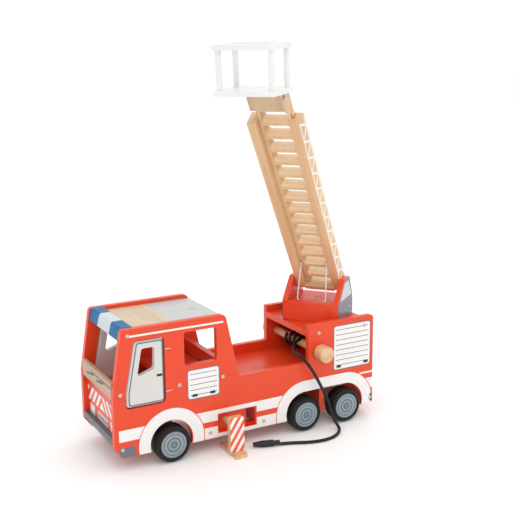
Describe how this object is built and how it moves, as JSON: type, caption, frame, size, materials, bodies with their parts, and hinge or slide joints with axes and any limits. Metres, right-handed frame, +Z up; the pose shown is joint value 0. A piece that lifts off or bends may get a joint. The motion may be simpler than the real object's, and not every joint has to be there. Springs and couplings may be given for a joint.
{
  "type": "toy fire engine",
  "caption": "Wooden toy fire engine with opening cab doors, sliding roof, pull-out outriggers, hose reel, and a turning ladder that raises, extends and carries a tilting basket.",
  "frame": {"origin": "on the ground under the middle of the body's length and width", "axes": "+Z up, front of the engine towards -Y, its left side towards +X"},
  "size_m": [0.3041, 0.399, 0.5361],
  "materials": {
    "red_paint": "red lacquer on plywood, satin",
    "door_paint": "off-white print on plywood, satin",
    "roof_grey": "pale grey lacquer on plywood, satin",
    "roof_wood": "clear lacquer on plywood, satin",
    "bumper_grey": "grey lacquer on solid wood, satin",
    "natural_wood": "clear lacquer on pale solid wood, satin",
    "plate_paint": "orange and white stripe print on plywood, satin",
    "ladder_wood": "clear lacquer on pale plywood, satin",
    "basket_white": "white lacquer on wood, satin",
    "tyre_black": "soft black rubber tyre on a printed wooden disc, matt",
    "steel": "bright zinc-plated steel, satin",
    "hose_black": "smooth black tube, satin",
    "nozzle_grey": "grey plastic, matt"
  },
  "bodies": {
    "truck_body": {"axle_blocks": "natural_wood", "body_screws": "steel", "cab_rear_wall": "red_paint", "door_hinge_wires": "steel", "door_pins": "steel", "fire_hose": "hose_black", "floor_board": "red_paint", "front_board": "red_paint", "front_bulkhead": "red_paint", "front_bumper": "bumper_grey", "front_roof": "roof_wood", "hose_coil": "hose_black", "hose_nozzle": "nozzle_grey", "left_guide_board": "red_paint", "left_side_panel": "red_paint", "light_bar": "red_paint", "rear_bulkhead": "red_paint", "rear_deck": "red_paint", "rear_wall": "red_paint", "right_guide_board": "red_paint", "right_side_panel": "red_paint", "seat_board": "red_paint", "turntable_bolt": "steel", "turntable_nut": "steel", "wheel_divider": "red_paint", "wiper_bar": "natural_wood"},
    "front_axle_body": {"front_axle": "natural_wood", "front_wheels": "tyre_black"},
    "middle_axle_body": {"middle_axle": "natural_wood", "middle_wheels": "tyre_black"},
    "rear_axle_body": {"rear_axle": "natural_wood", "rear_wheels": "tyre_black"},
    "turntable": {"turntable_base": "red_paint", "turntable_front_board": "red_paint", "left_cheek": "red_paint", "right_cheek": "red_paint", "ladder_pivot_pins": "steel"},
    "ladder": {"left_ladder_rail": "ladder_wood", "right_ladder_rail": "ladder_wood", "ladder_crossbar": "ladder_wood"},
    "extension": {"extension_board": "ladder_wood", "basket_block": "ladder_wood"},
    "basket": {"basket_floor": "basket_white", "basket_posts": "basket_white", "basket_rail": "basket_white", "basket_brackets": "basket_white", "basket_hinge_pin": "steel"},
    "prop": {"prop_wire": "steel"},
    "left_outrigger": {"left_outrigger_dowel": "natural_wood", "left_outrigger_plate": "plate_paint", "left_outrigger_foot": "natural_wood"},
    "right_outrigger": {"right_outrigger_dowel": "natural_wood", "right_outrigger_plate": "plate_paint", "right_outrigger_foot": "natural_wood"},
    "left_door": {"left_door": "door_paint"},
    "right_door": {"right_door": "door_paint"},
    "roof_panel": {"sliding_roof": "roof_grey"},
    "hose_reel": {"reel_dowel": "natural_wood", "reel_knobs": "natural_wood"}
  },
  "joints": [
    {"name": "front_axle_roll", "type": "hinge", "parent": "truck_body", "child": "front_axle_body", "pos_m": [0, -0.12, 0.025], "axis": [1, 0, 0], "continuous": true},
    {"name": "middle_axle_roll", "type": "hinge", "parent": "truck_body", "child": "middle_axle_body", "pos_m": [0, 0.083, 0.025], "axis": [1, 0, 0], "continuous": true},
    {"name": "rear_axle_roll", "type": "hinge", "parent": "truck_body", "child": "rear_axle_body", "pos_m": [0, 0.151, 0.025], "axis": [1, 0, 0], "continuous": true},
    {"name": "turntable_swivel", "type": "hinge", "parent": "truck_body", "child": "turntable", "pos_m": [0, 0.146, 0.144], "axis": [0, 0, 1], "continuous": true},
    {"name": "ladder_elevation", "type": "hinge", "parent": "turntable", "child": "ladder", "pos_m": [-0.00824, 0.15618, 0.1953], "axis": [-0.7771, -0.6293, 0], "range_deg": [-48.65, 0]},
    {"name": "ladder_extension", "type": "slide", "parent": "ladder", "child": "extension", "axis": [0.373, -0.4606, 0.8054], "range_m": [0, 0.15]},
    {"name": "basket_tilt", "type": "hinge", "parent": "extension", "child": "basket", "pos_m": [0.12765, -0.01164, 0.47405], "axis": [-0.7771, -0.6293, 0], "range_deg": [-15, 55]},
    {"name": "prop_swing", "type": "hinge", "parent": "ladder", "child": "prop", "pos_m": [0.01234, 0.13076, 0.2271], "axis": [-0.7771, -0.6293, 0], "range_deg": [0, 132.55]},
    {"name": "left_outrigger_slide", "type": "slide", "parent": "truck_body", "child": "left_outrigger", "axis": [1, 0, 0], "range_m": [-0.018, 0.012]},
    {"name": "right_outrigger_slide", "type": "slide", "parent": "truck_body", "child": "right_outrigger", "axis": [-1, 0, 0], "range_m": [-0.018, 0.012]},
    {"name": "left_door_hinge", "type": "hinge", "parent": "truck_body", "child": "left_door", "pos_m": [0.0606, -0.1313, 0.128], "axis": [0, 0, 1], "range_deg": [0, 90]},
    {"name": "right_door_hinge", "type": "hinge", "parent": "truck_body", "child": "right_door", "pos_m": [-0.0606, -0.1313, 0.128], "axis": [0, 0, -1], "range_deg": [0, 90]},
    {"name": "roof_slide", "type": "slide", "parent": "truck_body", "child": "roof_panel", "axis": [0, 1, 0], "range_m": [0, 0.05]},
    {"name": "reel_spin", "type": "hinge", "parent": "truck_body", "child": "hose_reel", "pos_m": [0, 0.1095, 0.1123], "axis": [1, 0, 0], "continuous": true}
  ],
  "couplings": [
    {"joint": "prop_swing", "follows": "ladder_elevation", "ratio": -2.7245}
  ]
}
